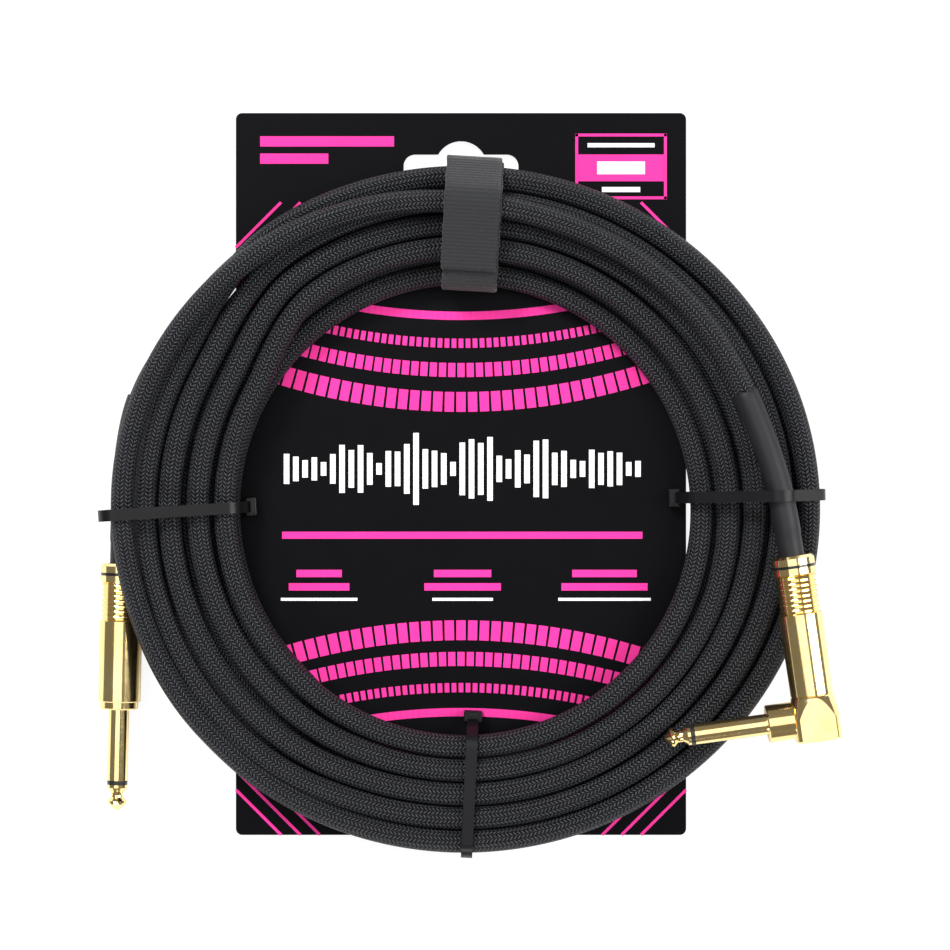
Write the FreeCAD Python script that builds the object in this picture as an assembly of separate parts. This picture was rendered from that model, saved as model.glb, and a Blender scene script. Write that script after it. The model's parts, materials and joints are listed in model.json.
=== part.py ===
"""Coiled instrument cable on its hang card: a woven lead with a straight and a right-angle plug.

Lengths are millimetres. The coil lies flat: X runs across the card, Y up the card, Z up off the
surface that it lies on. Everything is laid out about the coil's centre, and moved at the end so that
the origin is the middle of the whole outline, on the surface.
"""

import FreeCAD, Part
import math
import os

V = FreeCAD.Vector
UP = V(0, 0, 1)

# --- heights of the stack -------------------------------------------------------------------
TIE_THICK = 1.1
CARD_BACK_Z = 1.3
CARD_THICK = 0.8
STRAP_THICK = 1.2
CARD_FRONT_Z = CARD_BACK_Z + CARD_THICK
COIL_BOTTOM_Z = CARD_FRONT_Z + STRAP_THICK + 0.1

# --- cable and coil -------------------------------------------------------------------------
CABLE_R = 3.5
LAYERS = 2
LAYER_STEP = 7.1
COIL_TOP_Z = COIL_BOTTOM_Z + 2 * CABLE_R + (LAYERS - 1) * LAYER_STEP + 0.1
COIL_OUT_X = 110.6
COIL_OUT_Y = 106.6
COIL_IN_R = 70.0
COIL_ROUND = CABLE_R
POCKET_R = 100.0
POCKET_FROM_DEG = 150.0
POCKET_TO_DEG = 228.0

# --- card -----------------------------------------------------------------------------------
CARD_W = 141.2
CARD_H = 226.4
CARD_X = -0.95
CARD_Y = 10.9
CARD_CORNER_R = 2.0
HANG_SLOT_W = 36.0
HANG_SLOT_H = 9.5
HANG_DOME_R = 8.2
HANG_TOP_GAP = 8.8
TIE_HOLE_LONG = 5.0
TIE_HOLE_SHORT = 3.6

# --- cable ties and strap -------------------------------------------------------------------
TIE_W = 3.5
TIE_HEAD = (3.6, 5.8, 4.6)
TIE_STUB = 1.4
TIE_LEG_R = 1.0
TIE_GAP = 0.2
STRAP_W = 17.0
STRAP_GAP = 0.05
STRAP_TILT_DEG = 86.7
STRAP_FOOT = (1.6, 67.5)
TAB_THICK = 1.1
TAB_GAP = 0.25
TAB_END = 6.2
TAB_HINGE_Z = 9.0
TAB_ASIDE = 0.6

# --- plug shaft, the same on both plugs -------------------------------------------------------
SHAFT_R = 3.175
SHAFT_LEN = 22.4
RING_LEN = 1.2
RING_R = 3.14
TIP_LEN = 8.0
BORE_R = 2.2
ROD_R = 1.25
CORE_GAP = 0.05

# --- barrel -----------------------------------------------------------------------------------
BARREL_LEN = 43.0
BARREL_R = 6.6
BARREL_RIB_R = 6.25
BARREL_VALLEY_R = 5.75
RIB_COUNT = 7
RIB_PITCH = 1.6
RIB_FROM_REAR = 6.2
BAND_FROM_REAR = 3.3
BAND_LEN = 0.9
BAND_DEPTH = 0.5
REAR_WALL = 4.0
THREAD_R = 5.1
THREAD_LEN = 5.5
THREAD_PITCH = 1.0
THREAD_DEPTH = 0.45
THREAD_START = 0.4
THREAD_GAP = 0.1
LINER_WALL = 0.35
LINER_GAP = 0.05
LINER_START = 6.7
CHAMBER_ROOM = 0.55
UNDERCUT_Z = 5.7
UNDERCUT_LEN = 0.9
UNDERCUT_DEPTH = 0.15

# --- inside the barrel --------------------------------------------------------------------------
LUG_THICK = 0.6
LUG_R = 2.4
LUG_LEN = 7.5
TONGUE_W = 2.2
TONGUE_Y = 1.8
RIVET_R = 1.65
RIVET_LEN = 0.7
WASHER_LEN = 1.0
CABLE_END = 24.0
CLAMP_LEN = 5.0
CLAMP_WALL = 0.7
CLAMP_GAP = 0.05
CLAMP_STRIP_W = 3.4
RELIEF_START = 31.0
RELIEF_OUT = 52.0
RELIEF_WALL = 0.6
RELIEF_GAP = 0.3
WIRE_R = 0.55
WIRE_COAT_R = 1.25

# --- where the plugs lie --------------------------------------------------------------------------
STRAIGHT_REAR = V(-106.5, -17.0, 7.0)
STRAIGHT_DEG = 88.67
STRAIGHT_FLANGE = 2.3
STRAIGHT_FLANGE_R = 5.9
ANGLE_REAR = V(100.3, -14.05, 24.7)
ANGLE_DEG = 98.07
ANGLE_COLLAR = 8.2
ANGLE_COLLAR_R = 5.75
HEAD_SIDE = 13.4
HEAD_LEN = 13.7
HEAD_CORNER_R = 8.6
HEAD_ARCH_R = 3.2
HEAD_ARCH_DROP = 6.4
SPIGOT_R = 4.4
SPIGOT_LEN = 2.6
HEAD_BORE_R = 3.0
PASSAGE_R = 2.8
LUG_PLANE = 0.4
EYE_R = 2.1
EYE_TO_TOP = 9.0
BUSH_BORE_R = 1.9
BUSH_LEN = 4.0

# --- free stretches of cable, as points that the route turns at -----------------------------------
STRAIGHT_ROUTE = [
    V(-105.0, 18.5, 7.0),
    V(-100.9, 36.5, 7.0),
]
STRAIGHT_ROUTE_END_R = 106.0
ANGLE_ROUTE_START_R = 104.9
ANGLE_ROUTE = [  # degrees round the coil, distance from its centre, height
    (213.0, 106.9, 15.7),
    (197.0, 107.6, 18.0),
    (181.0, 107.7, 18.6),
    (165.0, 107.0, 20.6),
    (147.0, 105.7, 21.6),
    (128.0, 102.8, 21.6),
    (108.0, 98.7, 21.6),
    (88.0, 95.2, 21.6),
    (68.0, 94.0, 21.6),
    (48.0, 94.4, 21.6),
    (31.0, 94.3, 21.9),
]
ANGLE_RELIEF_BEND = [V(93.1, 19.0, 23.6)]
RELIEF_STRAIGHT = 12.0


def polar(degrees, radius, z=0.0):
    """A point round the coil's centre."""
    a = math.radians(degrees)
    return V(radius * math.cos(a), radius * math.sin(a), z)


def turned(profile):
    """A solid of revolution about Z from (radius, z) points."""
    wire = Part.makePolygon([V(r, 0, z) for r, z in profile] + [V(profile[0][0], 0, profile[0][1])])
    return Part.Face(wire).revolve(V(0, 0, 0), UP, 360)


def pipe(outer, inner, z0, z1):
    """A straight tube about Z between two heights."""
    return Part.makeCylinder(outer, z1 - z0, V(0, 0, z0)).cut(Part.makeCylinder(inner, z1 - z0, V(0, 0, z0)))


def rod(radius, z0, z1):
    """A round bar about Z between two heights."""
    return Part.makeCylinder(radius, z1 - z0, V(0, 0, z0))


def block(low, high):
    """A box between two corners."""
    return Part.makeBox(high[0] - low[0], high[1] - low[1], high[2] - low[2], V(*low))


def frame(origin, x_axis, z_axis):
    """The placement that carries a local frame to a place on the object."""
    z = V(z_axis).normalize()
    x = V(x_axis).normalize()
    y = z.cross(x)
    m = FreeCAD.Matrix(x.x, y.x, z.x, origin.x, x.y, y.y, z.y, origin.y, x.z, y.z, z.z, origin.z, 0, 0, 0, 1)
    return FreeCAD.Placement(m)


def placed(shape, placement):
    """A copy of a shape carried by a placement."""
    out = shape.copy()
    out.Placement = placement.multiply(out.Placement)
    return out


def route_wire(points, note):
    """Straight runs joined by tangent arcs, each as large as its two runs allow."""
    edges = []
    at = points[0]
    radii = []
    for before, corner, after in zip(points, points[1:], points[2:]):
        d_in = (corner - before).normalize()
        d_out = (after - corner).normalize()
        shorter = min((corner - before).Length, (after - corner).Length)
        turn = d_in.getAngle(d_out)
        reach = 0.45 * shorter
        start = corner - d_in * reach
        end = corner + d_out * reach
        radius = reach / math.tan(turn / 2)
        to_centre = (d_out - d_in).normalize()
        mid = corner + to_centre * (radius / math.cos(turn / 2) - radius)
        edges.append(Part.LineSegment(at, start).toShape())
        edges.append(Part.Arc(start, mid, end).toShape())
        radii.append(round(radius))
        at = end
    edges.append(Part.LineSegment(at, points[-1]).toShape())
    wire = Part.Wire(edges)
    print(note, "bend radii", radii, "length", round(wire.Length, 1))
    return wire


def swept(wire, radius, note):
    """A round bar along a route, with its volume compared with its section times its length."""
    start = wire.Edges[0]
    tangent = start.tangentAt(start.FirstParameter)
    ring = Part.Wire([Part.Circle(start.valueAt(start.FirstParameter), tangent, radius).toShape()])
    solid = wire.makePipeShell([ring], True, True)
    share = solid.Volume / (math.pi * radius**2 * wire.Length)
    print(note, "volume over section times length", round(share, 4))
    return solid


def belt_wire(circles, grow):
    """The tight loop round circles given anticlockwise as (u, z, radius), in the plane Y = 0."""
    ends = []
    count = len(circles)
    for i in range(count):
        u1, z1, r1 = circles[i]
        u2, z2, r2 = circles[(i + 1) % count]
        run = math.hypot(u2 - u1, z2 - z1)
        normal = math.atan2(z2 - z1, u2 - u1) - math.pi / 2 + math.asin((r1 - r2) / run)
        ends.append((normal, (u1, z1, r1 + grow), (u2, z2, r2 + grow)))

    def on(circle, angle):
        return V(circle[0] + circle[2] * math.cos(angle), 0, circle[1] + circle[2] * math.sin(angle))

    edges = []
    for i, (normal, first, second) in enumerate(ends):
        following = ends[(i + 1) % count][0]
        while following < normal:
            following += 2 * math.pi
        edges.append(Part.LineSegment(on(first, normal), on(second, normal)).toShape())
        middle = (normal + following) / 2
        edges.append(Part.Arc(on(second, normal), on(second, middle), on(second, following)).toShape())
    return Part.Wire(edges)


def belt(circles, inside, outside, width):
    """A flat band of a width round those circles, between two distances from them."""
    shapes = []
    for grow in (outside, inside):
        face = Part.Face(belt_wire(circles, grow))
        shapes.append(face.extrude(V(0, width, 0)).translated(V(0, -width / 2, 0)))
    return shapes[0].cut(shapes[1])


def coil_corners(degrees):
    """The four rounded corners of the coil's section at an angle, as (u, z, radius)."""
    a = math.radians(degrees)
    outer = COIL_OUT_X * COIL_OUT_Y / math.hypot(COIL_OUT_Y * math.cos(a), COIL_OUT_X * math.sin(a))
    near = COIL_IN_R + COIL_ROUND
    far = outer - COIL_ROUND
    low = COIL_BOTTOM_Z + COIL_ROUND
    high = COIL_TOP_Z - COIL_ROUND
    return (near, low), (far, low), (far, high), (near, high)


def make_coil():
    """The closed outline that the turns fill, with a pocket where the straight plug lies."""
    height = COIL_TOP_Z - COIL_BOTTOM_Z
    long, short = max(COIL_OUT_X, COIL_OUT_Y), min(COIL_OUT_X, COIL_OUT_Y)
    edge = Part.Ellipse(V(0, 0, COIL_BOTTOM_Z), long, short).toShape()
    if COIL_OUT_Y > COIL_OUT_X:
        edge.rotate(V(0, 0, 0), UP, 90)
    outer = Part.Face(Part.Wire([edge])).extrude(V(0, 0, height))
    ring = outer.cut(Part.makeCylinder(COIL_IN_R, height, V(0, 0, COIL_BOTTOM_Z)))
    rims = [e for e in ring.Edges if abs(e.BoundBox.ZLength) < 0.01]
    ring = ring.makeFillet(COIL_ROUND, rims)
    far = 2 * COIL_OUT_X
    sector = Part.Face(
        Part.makePolygon(
            [
                V(0, 0, 0),
                polar(POCKET_FROM_DEG, far),
                polar((POCKET_FROM_DEG + POCKET_TO_DEG) / 2, far),
                polar(POCKET_TO_DEG, far),
                V(0, 0, 0),
            ]
        )
    ).extrude(V(0, 0, 2 * COIL_TOP_Z))
    return ring.cut(sector.cut(Part.makeCylinder(POCKET_R, 2 * COIL_TOP_Z)))


def rounded_slot(width, height, radius, centre, depth):
    """A block with round corners in plan, centred on a point at its lowest face."""
    body = Part.makeBox(width, height, depth, centre - V(width / 2, height / 2, 0))
    return body.makeFillet(radius, [e for e in body.Edges if e.BoundBox.ZLength > depth / 2])


def make_card(tie_legs):
    """The hang card, with its hang hole and a hole for each tie."""
    base = V(CARD_X, CARD_Y, CARD_BACK_Z)
    card = rounded_slot(CARD_W, CARD_H, CARD_CORNER_R, base, CARD_THICK)
    top = CARD_Y + CARD_H / 2
    deep = 3 * CARD_THICK
    dome_y = top - HANG_TOP_GAP - HANG_DOME_R
    slot_y = dome_y + 4.0 - HANG_SLOT_H / 2
    dome = Part.makeCylinder(HANG_DOME_R, deep, V(CARD_X, dome_y, CARD_BACK_Z - CARD_THICK))
    slot = rounded_slot(
        HANG_SLOT_W, HANG_SLOT_H, 3.6, V(CARD_X, slot_y, CARD_BACK_Z - CARD_THICK), deep
    )
    card = card.cut(dome.fuse(slot))
    for leg in tie_legs:
        hole = rounded_slot(TIE_HOLE_SHORT, TIE_HOLE_LONG, 1.2, V(0, 0, -CARD_THICK), deep)
        card = card.cut(placed(hole, leg))
    return card


def tie_frame(foot, degrees):
    """A tie's own frame: X out along the coil's radius from its head, Z up."""
    return frame(V(foot[0], foot[1], 0), polar(degrees, 1), UP)


def make_tie(foot, degrees, coil_degrees, over_corner, over):
    """A closed nylon tie: toothed band, ratchet head and cut end, moulded as one piece."""
    inset = math.hypot(*foot)
    low_near, low_far, high_far, high_near = coil_corners(coil_degrees)
    lift = TIE_THICK + TIE_GAP
    around = [(TIE_LEG_R, lift + TIE_LEG_R, TIE_LEG_R)]
    around.append((low_far[0] - inset, lift + COIL_ROUND, COIL_ROUND))
    corner = [(*high_far, COIL_ROUND)] if over_corner else []
    for r, z, radius in corner + over:
        around.append((r - inset, z, radius))
    around.append((high_near[0] - inset, high_near[1], COIL_ROUND))
    band = belt(around, TIE_GAP, TIE_GAP + TIE_THICK, TIE_W)
    length, width, height = TIE_HEAD
    base_z = CARD_FRONT_Z + 0.1
    centre = (TIE_THICK + TIE_GAP) / -2 + 0.35
    head = block((centre - length / 2, -width / 2, base_z), (centre + length / 2, width / 2, base_z + height))
    head = head.makeFillet(0.5, head.Edges)
    stub = block(
        (centre - TIE_THICK / 2 - 0.9, -TIE_W / 2, base_z + height / 2),
        (centre + TIE_THICK / 2 - 0.9, TIE_W / 2, base_z + height + TIE_STUB),
    )
    return placed(band.fuse([head, stub]).removeSplitter(), tie_frame(foot, degrees))


def strap_circles():
    """What the strap goes round, in its own frame: the coil's corners and the cable on top."""
    inset = math.hypot(*STRAP_FOOT)
    low_near, low_far, high_far, high_near = coil_corners(90)
    top = next(p for p in ANGLE_ROUTE if p[0] == 88.0)
    bow = 1.5 * (COIL_IN_R - math.sqrt(COIL_IN_R**2 - (STRAP_W / 2) ** 2))
    around = [(low_near[0] - inset - bow, low_near[1], COIL_ROUND)]
    around += [(r - inset, z, COIL_ROUND) for r, z in (low_far, high_far)]
    around.append((top[1] - inset - 0.6, top[2], CABLE_R + 0.35))
    around.append((high_near[0] - inset - bow, high_near[1], COIL_ROUND))
    return around


def make_strap():
    """The loop tape round the bundle, and the hook tab pressed down over it."""
    around = strap_circles()
    place = tie_frame(STRAP_FOOT, STRAP_TILT_DEG)
    loop = belt(around, STRAP_GAP, STRAP_GAP + STRAP_THICK, STRAP_W)
    start = STRAP_GAP + STRAP_THICK + TAB_GAP
    tab = belt(around, start, start + TAB_THICK, STRAP_W)
    keep = block((TAB_END, -STRAP_W, TAB_HINGE_Z), (80, STRAP_W, 60))
    aside = FreeCAD.Placement(V(0, TAB_ASIDE, 0), FreeCAD.Rotation())
    return placed(loop, place), placed(tab.common(keep), place.multiply(aside))


def tip_profile():
    """The tip's outline from its seat on the ring, out to its point, as (radius, distance out)."""
    return [
        (RING_R, 0.0),
        (RING_R, 0.9),
        (1.95, 2.5),
        (1.8, 3.2),
        (1.95, 3.9),
        (2.9, 5.0),
        (3.08, 5.5),
        (2.85, 6.0),
        (1.1, 7.5),
        (0.6, 7.9),
        (0.0, TIP_LEN),
    ]


def thread_outline():
    """Half outline of the threaded neck that a barrel screws on to, from its foot to its end."""
    root = THREAD_R - THREAD_DEPTH
    points = [(root, 0.0), (root, THREAD_START)]
    z = THREAD_START
    while z + THREAD_PITCH < THREAD_LEN:
        points += [(THREAD_R, z + 0.35 * THREAD_PITCH), (THREAD_R, z + 0.65 * THREAD_PITCH)]
        z += THREAD_PITCH
        points.append((root, z))
    points.append((root, THREAD_LEN))
    return points


def shaft_pieces(flange_len, flange_r, back_r, back_len, threaded, rod_back):
    """Tip, ring, sleeve and core of a plug about Z, with the flange's back face at z = 0."""
    seat = -flange_len - SHAFT_LEN
    ring_face = seat - RING_LEN
    outline = [(0.0, rod_back)]
    outline.append((ROD_R, rod_back))
    outline.append((ROD_R, ring_face))
    outline += [(r, ring_face - out) for r, out in tip_profile()]
    tip = turned(outline)
    ring = pipe(RING_R, ROD_R + CORE_GAP, ring_face, seat)
    sleeve_outline = [
        (BORE_R, seat),
        (SHAFT_R - 0.15, seat),
        (SHAFT_R, seat + 0.15),
        (SHAFT_R, -flange_len),
        (flange_r - 0.4, -flange_len),
        (flange_r, -flange_len + 0.4),
        (flange_r, -0.0),
    ]
    sleeve_outline += thread_outline() if threaded else [(back_r, 0.0), (back_r, back_len)]
    sleeve_outline.append((BORE_R, back_len))
    sleeve = turned(sleeve_outline)
    core = pipe(BORE_R - CORE_GAP, ROD_R + CORE_GAP, seat, back_len + LUG_THICK)
    return tip, ring, sleeve, core


def barrel_pieces():
    """The screwed barrel, its black band and the insulating liner, with the barrel's mouth at z = 0."""
    rear = BARREL_LEN
    ribs_end = rear - RIB_FROM_REAR
    ribs_start = ribs_end - RIB_COUNT * RIB_PITCH
    bore = THREAD_R + THREAD_GAP
    chamber = CABLE_R + CLAMP_GAP + CLAMP_WALL + CHAMBER_ROOM + LINER_WALL + LINER_GAP
    undercut = max(bore, chamber) + UNDERCUT_DEPTH
    outline = [(bore, 0.0), (BARREL_R - 0.3, 0.0), (BARREL_R, 0.3), (BARREL_R, ribs_start - 0.5)]
    outline.append((BARREL_VALLEY_R, ribs_start))
    for i in range(RIB_COUNT):
        z = ribs_start + i * RIB_PITCH
        outline += [
            (BARREL_VALLEY_R, z + 0.3 * RIB_PITCH),
            (BARREL_RIB_R - 0.1, z + 0.5 * RIB_PITCH),
            (BARREL_RIB_R, z + 0.65 * RIB_PITCH),
            (BARREL_RIB_R - 0.1, z + 0.8 * RIB_PITCH),
            (BARREL_VALLEY_R, z + RIB_PITCH),
        ]
    band_z = rear - BAND_FROM_REAR
    outline += [
        (BARREL_R, ribs_end + 0.5),
        (BARREL_R, band_z - BAND_LEN / 2),
        (BARREL_R - BAND_DEPTH, band_z - BAND_LEN / 2),
        (BARREL_R - BAND_DEPTH, band_z + BAND_LEN / 2),
        (BARREL_R, band_z + BAND_LEN / 2),
        (BARREL_R, rear - 0.8),
        (BARREL_R - 0.8, rear),
        (CABLE_R + RELIEF_WALL + RELIEF_GAP, rear),
        (CABLE_R + RELIEF_WALL + RELIEF_GAP, rear - REAR_WALL),
        (chamber, rear - REAR_WALL),
        (chamber, UNDERCUT_Z + UNDERCUT_LEN),
        (undercut, UNDERCUT_Z + UNDERCUT_LEN),
        (undercut, UNDERCUT_Z),
        (bore, UNDERCUT_Z),
    ]
    barrel = turned(outline)
    band = pipe(BARREL_R + 0.02, BARREL_R - BAND_DEPTH, band_z - BAND_LEN / 2, band_z + BAND_LEN / 2)
    liner_r = chamber - LINER_GAP
    liner = pipe(liner_r, liner_r - LINER_WALL, LINER_START, rear - REAR_WALL - 1.0)
    return barrel, band, liner


def ground_clamp(base_z):
    """The ground lug: a ring on the threaded neck, a strip and a crimp round the cable's end."""
    inner = CABLE_R + CLAMP_GAP
    outer = inner + CLAMP_WALL
    ring = pipe(outer, BORE_R, base_z, base_z + LUG_THICK)
    crimp_z = CABLE_END + 1.0
    half = CLAMP_STRIP_W / 2
    strip = pipe(outer, inner, base_z, crimp_z + CLAMP_LEN)
    strip = strip.common(block((-half, -outer - 1, base_z), (half, 0, crimp_z + CLAMP_LEN)))
    crimp = pipe(outer, inner, crimp_z, crimp_z + CLAMP_LEN)
    crimp = crimp.cut(block((-0.6, 0, crimp_z), (0.6, outer + 1, crimp_z + CLAMP_LEN)))
    return ring.fuse([strip, crimp]).removeSplitter()


def plug_rear(back_len, lug_len):
    """The pieces behind the threaded neck: washer, tip lug, clamp, wires."""
    clamp = ground_clamp(back_len)
    z = back_len + LUG_THICK
    washer = pipe(CABLE_R + 0.5, ROD_R + CORE_GAP, z, z + WASHER_LEN)
    washer = washer.cut(block((-5, -6, z), (5, -CABLE_R + 0.6, z + WASHER_LEN)))
    z += WASHER_LEN
    lug_plate = pipe(LUG_R, ROD_R, z, z + LUG_THICK)
    half = TONGUE_W / 2
    tongue = block((-half, TONGUE_Y, z), (half, TONGUE_Y + LUG_THICK, z + lug_len))
    foot = block((-half, TONGUE_Y - 0.5, z), (half, TONGUE_Y + LUG_THICK, z + LUG_THICK))
    lug = lug_plate.fuse([foot, tongue]).removeSplitter()
    rivet = z + LUG_THICK
    return clamp, washer, lug, rivet


def lead_wires(prefix, lug_tip_z, lug_outer_y):
    """Centre wire, its coat, the twisted shield and the solder that holds both ends."""
    wire_y = lug_outer_y + WIRE_R
    start = lug_tip_z - 2.4
    wire = Part.makeCylinder(WIRE_R, CABLE_END - start, V(0, wire_y, start))
    coat_from = lug_tip_z + 1.0
    coat = Part.makeCylinder(WIRE_COAT_R, CABLE_END - coat_from, V(0, wire_y, coat_from))
    coat = coat.cut(Part.makeCylinder(WIRE_R, CABLE_END - coat_from, V(0, wire_y, coat_from)))
    strip_y = -CABLE_R - 0.05
    shield_r = 0.8
    shield = Part.makeCylinder(shield_r, 7.0, V(0, strip_y + shield_r, CABLE_END - 7.0))
    tip_drop = Part.makeSphere(1.15, V(0, wire_y, start + 0.6))
    tip_drop = tip_drop.cut(wire).cut(block((-3, -3, 0), (3, lug_outer_y, CABLE_END)))
    ground_drop = Part.makeSphere(1.3, V(0, strip_y + shield_r, CABLE_END - 6.6))
    ground_drop = ground_drop.cut(shield).cut(block((-3, -6, 0), (3, strip_y + 0.17, CABLE_END)))
    return {
        prefix + "_centre_wire": wire,
        prefix + "_wire_coat": coat,
        prefix + "_shield_wire": shield,
        prefix + "_solder": Part.makeCompound([tip_drop, ground_drop]),
    }


def straight_plug(place):
    """Every piece of the straight plug, carried to its place."""
    clamp, washer, lug, rivet = plug_rear(THREAD_LEN, LUG_LEN)
    tip, ring, sleeve, core = shaft_pieces(
        STRAIGHT_FLANGE, STRAIGHT_FLANGE_R, THREAD_R, THREAD_LEN, True, rivet
    )
    tip = tip.fuse(rod(RIVET_R, rivet, rivet + RIVET_LEN)).removeSplitter()
    barrel, band, liner = barrel_pieces()
    pieces = {
        "straight_tip": tip,
        "straight_tip_ring": ring,
        "straight_sleeve": sleeve,
        "straight_core_insulator": core,
        "straight_rear_washer": washer,
        "straight_tip_lug": lug,
        "straight_ground_clamp": clamp,
        "straight_barrel": barrel,
        "straight_barrel_band": band,
        "straight_barrel_liner": liner,
    }
    lug_end = THREAD_LEN + LUG_THICK + WASHER_LEN + LUG_LEN
    pieces.update(lead_wires("straight", lug_end, TONGUE_Y + LUG_THICK))
    return {name: placed(shape, place) for name, shape in pieces.items()}


def angle_head():
    """The square head: a cone cuts an arch into each side, and the threaded neck stands on top."""
    half = HEAD_SIDE / 2
    body = block((-half, -half, -HEAD_LEN), (half, half, 0))
    turned_blank = turned(
        [
            (0, -HEAD_LEN),
            (HEAD_CORNER_R - 0.6, -HEAD_LEN),
            (HEAD_CORNER_R, -HEAD_LEN + 0.6),
            (HEAD_CORNER_R, -HEAD_ARCH_DROP),
            (half, -0.4),
            (half - 0.3, 0),
            (0, 0),
        ]
    )
    body = body.common(turned_blank)
    outline = [(0, -1.0), (THREAD_R - THREAD_DEPTH, -1.0)] + thread_outline() + [(0, THREAD_LEN)]
    body = body.fuse(turned(outline)).removeSplitter()
    bore = rod(HEAD_BORE_R, -HEAD_LEN / 2, THREAD_LEN)
    side = Part.makeCylinder(SPIGOT_R, SPIGOT_LEN, V(-half, 0, -HEAD_LEN / 2), V(1, 0, 0))
    passage = Part.makeCylinder(PASSAGE_R, half + LUG_PLANE + 0.4, V(-half, 0, -HEAD_LEN / 2), V(1, 0, 0))
    return body.cut(bore.fuse([side, passage]))


def angle_plug(place):
    """Every piece of the right-angle plug, carried to its place."""
    half = HEAD_SIDE / 2
    rod_back = half + LUG_PLANE
    tip, ring, sleeve, core = shaft_pieces(
        ANGLE_COLLAR, ANGLE_COLLAR_R, SPIGOT_R - CORE_GAP, SPIGOT_LEN, False, rod_back
    )
    side_on = frame(V(-half, 0, -HEAD_LEN / 2), V(0, 1, 0), V(1, 0, 0))
    tip = tip.fuse(rod(RIVET_R, rod_back - RIVET_LEN, rod_back)).removeSplitter()
    lug_x = LUG_PLANE - RIVET_LEN - LUG_THICK
    lug_end = THREAD_LEN + EYE_TO_TOP
    eye = Part.makeCylinder(EYE_R, LUG_THICK, V(lug_x, 0, -HEAD_LEN / 2), V(1, 0, 0))
    strip = block((lug_x, -TONGUE_W / 2, -HEAD_LEN / 2), (lug_x + LUG_THICK, TONGUE_W / 2, lug_end))
    lug = eye.fuse(strip)
    lug = lug.cut(Part.makeCylinder(ROD_R, LUG_THICK, V(lug_x, 0, -HEAD_LEN / 2), V(1, 0, 0)))
    bush = pipe(HEAD_BORE_R - CORE_GAP, BUSH_BORE_R, THREAD_LEN - BUSH_LEN, THREAD_LEN)
    barrel, band, liner = barrel_pieces()
    wires = lead_wires("angle", lug_end, lug_x + LUG_THICK)
    quarter = FreeCAD.Placement(V(0, 0, 0), FreeCAD.Rotation(UP, -90))
    clamp = ground_clamp(THREAD_LEN)
    clamp = clamp.cut(rod(HEAD_BORE_R, THREAD_LEN, THREAD_LEN + LUG_THICK))
    pieces = {
        "angle_tip": placed(tip, side_on),
        "angle_tip_ring": placed(ring, side_on),
        "angle_sleeve": placed(sleeve, side_on),
        "angle_core_insulator": placed(core, side_on),
        "angle_head": angle_head(),
        "angle_lug_bush": bush,
        "angle_tip_lug": lug.removeSplitter(),
        "angle_ground_clamp": placed(clamp, quarter),
        "angle_barrel": barrel,
        "angle_barrel_band": band,
        "angle_barrel_liner": liner,
    }
    pieces.update({name: placed(shape, quarter) for name, shape in wires.items()})
    return {name: placed(shape, place) for name, shape in pieces.items()}


def cable_end(rear, degrees, route):
    """Cable and strain relief from inside a barrel, along a route. The barrel's back is at rear."""
    back = polar(degrees, 1)
    inside = rear - back * (BARREL_LEN - CABLE_END)
    points = [inside, rear + back * RELIEF_STRAIGHT] + route
    wire = route_wire(points, "route")
    cable = swept(wire, CABLE_R, "cable")
    lead_in = RELIEF_START - CABLE_END
    relief_len = BARREL_LEN - RELIEF_START + RELIEF_OUT
    return wire, cable, lead_in, relief_len


def stretch(wire, start, length):
    """The stretch of a route from a distance along it, of that length."""
    edges = []
    skip = start
    left = length
    for edge in wire.Edges:
        if skip >= edge.Length:
            skip -= edge.Length
            continue
        first = edge.getParameterByLength(skip)
        room = edge.Length - skip
        last = edge.LastParameter if room <= left else edge.getParameterByLength(skip + left)
        edges.append(edge.Curve.toShape(first, last))
        left -= min(room, left)
        skip = 0.0
        if left <= 1e-6:
            break
    return Part.Wire(edges)


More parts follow.
